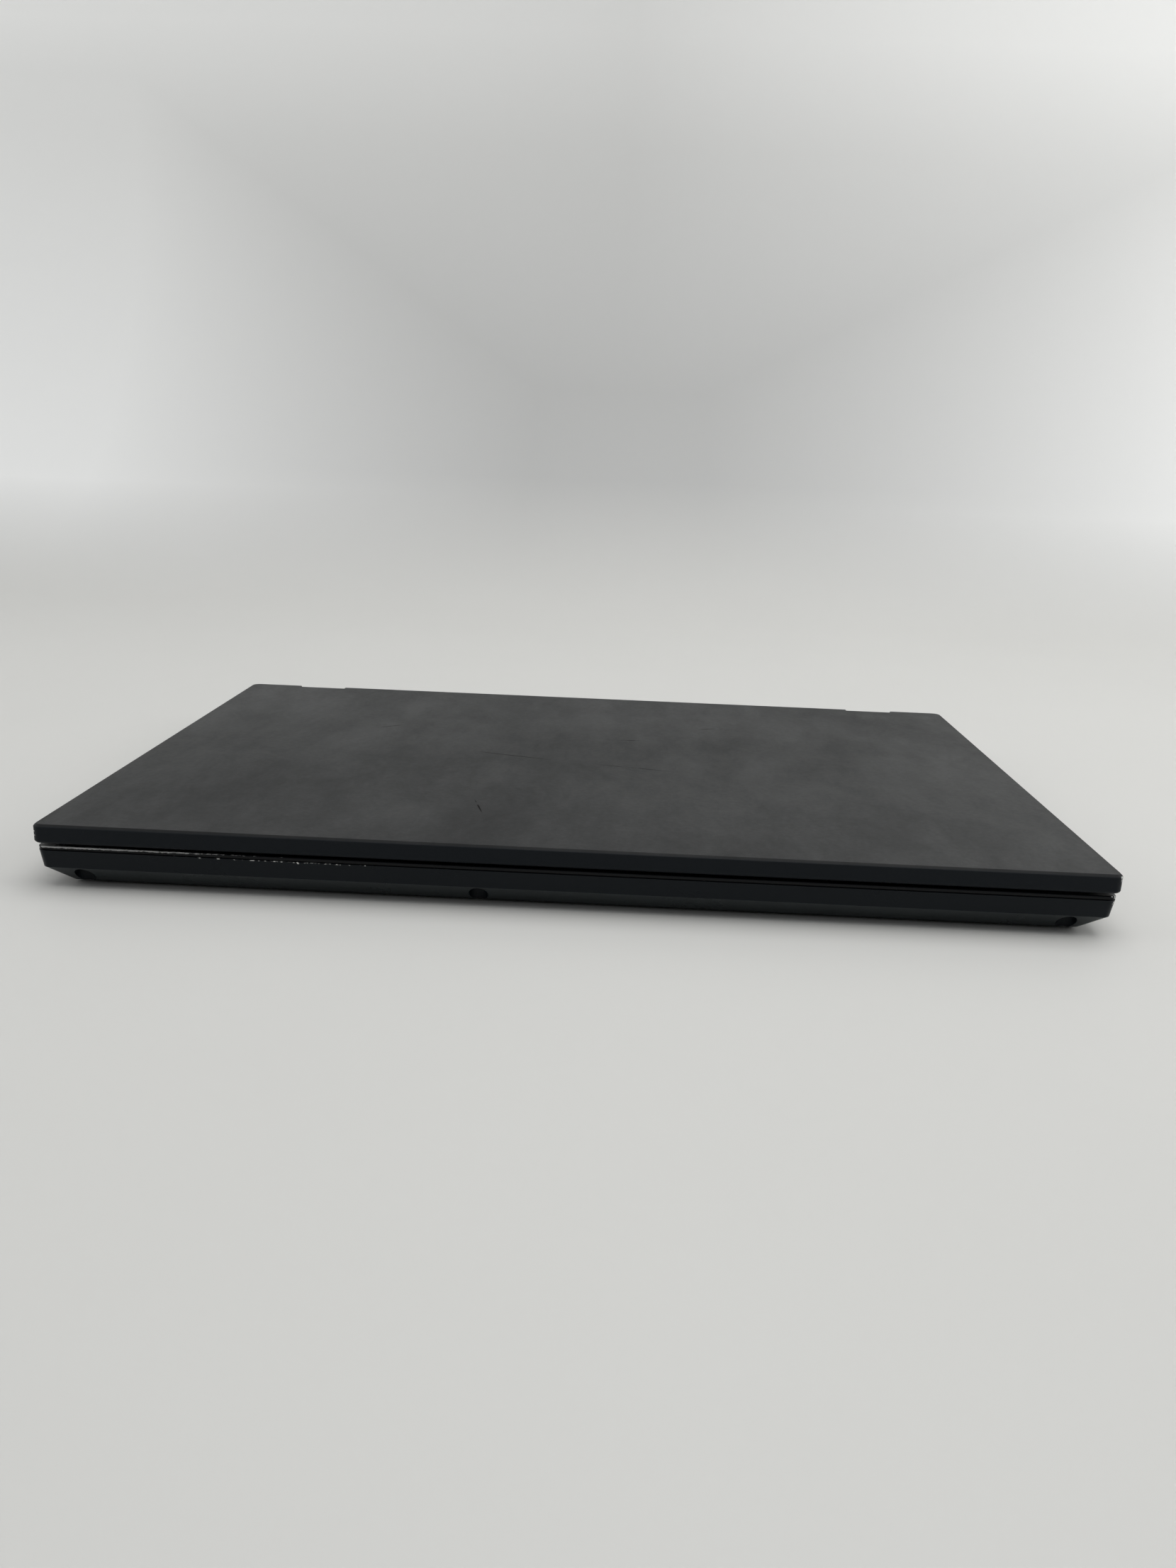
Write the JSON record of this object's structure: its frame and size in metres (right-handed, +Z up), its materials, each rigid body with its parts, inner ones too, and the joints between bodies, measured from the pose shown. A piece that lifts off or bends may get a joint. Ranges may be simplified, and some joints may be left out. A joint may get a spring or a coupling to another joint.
{
  "type": "laptop computer",
  "caption": "Slim black clamshell laptop, shown closed: hinged display lid, sprung keyboard, touchpad with buttons, side sockets and chamfered base on rubber feet.",
  "frame": {"origin": "on the table under the middle of the closed lid", "axes": "+X to the user's right, +Y from the user to the hinges, +Z up"},
  "size_m": [0.3788, 0.254, 0.0245],
  "materials": {
    "lid_finish": "soft-touch paint",
    "case_plastic": "fine grain, painted",
    "key_plastic": "fine grain",
    "keyboard_frame_plastic": "matt",
    "steel": "dark plated",
    "socket_metal": "nickel plated",
    "tray_metal": "mill finish",
    "copper": "bare",
    "screen": "matt anti-glare",
    "lens": "clear over a dark sensor",
    "display_module": "pressed sheet",
    "circuit_board": "solder mask",
    "battery_wrap": "film wrapped",
    "coin_steel": "bare",
    "inner_plastic": "moulded",
    "rubber": "moulded",
    "touchpad_film": "smooth film",
    "sensor_film": "coated"
  },
  "bodies": {
    "base": {"audio_jack": "inner_plastic", "battery_pack": "battery_wrap", "bottom_cover": "case_plastic", "bottom_screws": "steel", "card_slot": "socket_metal", "coin_cell": "coin_steel", "cold_plate": "tray_metal", "display_socket": "socket_metal", "fan_housing": "inner_plastic", "feet": "rubber", "fin_stack": "tray_metal", "fingerprint_reader": "sensor_film", "hdmi_socket": "socket_metal", "heat_pipe": "copper", "hinge_bracket_left": "steel", "hinge_bracket_right": "steel", "io_board_left": "circuit_board", "io_board_right": "circuit_board", "keyboard_frame": "keyboard_frame_plastic", "keyboard_tray": "tray_metal", "lock_plate": "steel", "memory_modules": "circuit_board", "motherboard": "circuit_board", "network_jack": "inner_plastic", "palm_rest": "case_plastic", "pointing_stick": "rubber", "power_inlet": "inner_plastic", "solid_state_drive": "circuit_board", "speaker_grilles": "keyboard_frame_plastic", "speakers": "inner_plastic", "touchpad_tray": "tray_metal", "usb_sockets": "socket_metal", "wireless_card": "circuit_board"},
    "lid": {"lid_cover": "lid_finish", "display_bezel": "case_plastic", "lcd_module": "display_module", "display_glass": "screen", "webcam_board": "circuit_board", "webcam_lens": "lens", "lid_antennas": "circuit_board", "lid_bumpers": "rubber", "hinge_arm_left": "steel", "hinge_arm_right": "steel", "hinge_pins": "steel"},
    "touchpad": {"touchpad": "touchpad_film"},
    "power_button": {"power_button": "key_plastic"},
    "fan_rotor": {"fan_rotor": "inner_plastic"},
    "keys_function_row": {"keys_function_row": "key_plastic"},
    "keys_number_row": {"keys_number_row": "key_plastic"},
    "keys_upper_row": {"keys_upper_row": "key_plastic"},
    "keys_home_row": {"keys_home_row": "key_plastic"},
    "keys_lower_row": {"keys_lower_row": "key_plastic"},
    "keys_space_row": {"keys_space_row": "key_plastic"},
    "space_bar": {"space_bar": "key_plastic"},
    "pointer_button_left": {"pointer_button_left": "key_plastic"},
    "pointer_button_middle": {"pointer_button_middle": "key_plastic"},
    "pointer_button_right": {"pointer_button_right": "key_plastic"}
  },
  "joints": [
    {"name": "lid_hinge", "type": "hinge", "parent": "base", "child": "lid", "pos_m": [0, 0.1232, 0.0168], "axis": [-1, 0, 0], "range_deg": [0, 180]},
    {"name": "keys_function_row_press", "type": "slide", "parent": "base", "child": "keys_function_row", "axis": [0, 0, -1], "range_m": [0, 0.0018], "stiffness_N_per_m": 5000},
    {"name": "keys_number_row_press", "type": "slide", "parent": "base", "child": "keys_number_row", "axis": [0, 0, -1], "range_m": [0, 0.0018], "stiffness_N_per_m": 4500},
    {"name": "keys_upper_row_press", "type": "slide", "parent": "base", "child": "keys_upper_row", "axis": [0, 0, -1], "range_m": [0, 0.0018], "stiffness_N_per_m": 4500},
    {"name": "keys_home_row_press", "type": "slide", "parent": "base", "child": "keys_home_row", "axis": [0, 0, -1], "range_m": [0, 0.0018], "stiffness_N_per_m": 4000},
    {"name": "keys_lower_row_press", "type": "slide", "parent": "base", "child": "keys_lower_row", "axis": [0, 0, -1], "range_m": [0, 0.0018], "stiffness_N_per_m": 4000},
    {"name": "keys_space_row_press", "type": "slide", "parent": "base", "child": "keys_space_row", "axis": [0, 0, -1], "range_m": [0, 0.0018], "stiffness_N_per_m": 3750},
    {"name": "space_bar_press", "type": "slide", "parent": "base", "child": "space_bar", "axis": [0, 0, -1], "range_m": [0, 0.0018], "stiffness_N_per_m": 1000},
    {"name": "pointer_button_left_press", "type": "slide", "parent": "base", "child": "pointer_button_left", "axis": [0, 0, -1], "range_m": [0, 0.0008], "stiffness_N_per_m": 900},
    {"name": "pointer_button_middle_press", "type": "slide", "parent": "base", "child": "pointer_button_middle", "axis": [0, 0, -1], "range_m": [0, 0.0008], "stiffness_N_per_m": 900},
    {"name": "pointer_button_right_press", "type": "slide", "parent": "base", "child": "pointer_button_right", "axis": [0, 0, -1], "range_m": [0, 0.0008], "stiffness_N_per_m": 900},
    {"name": "power_button_press", "type": "slide", "parent": "base", "child": "power_button", "axis": [0, 0, -1], "range_m": [0, 0.0005], "stiffness_N_per_m": 1800},
    {"name": "touchpad_click", "type": "hinge", "parent": "base", "child": "touchpad", "pos_m": [-0.036, -0.0221, 0.0154], "axis": [1, 0, 0], "range_deg": [0, 0.6], "stiffness_Nm_per_rad": 12},
    {"name": "fan_spin", "type": "hinge", "parent": "base", "child": "fan_rotor", "pos_m": [-0.13749, 0.07454, 0.0066], "axis": [0, 0, 1], "continuous": true}
  ]
}
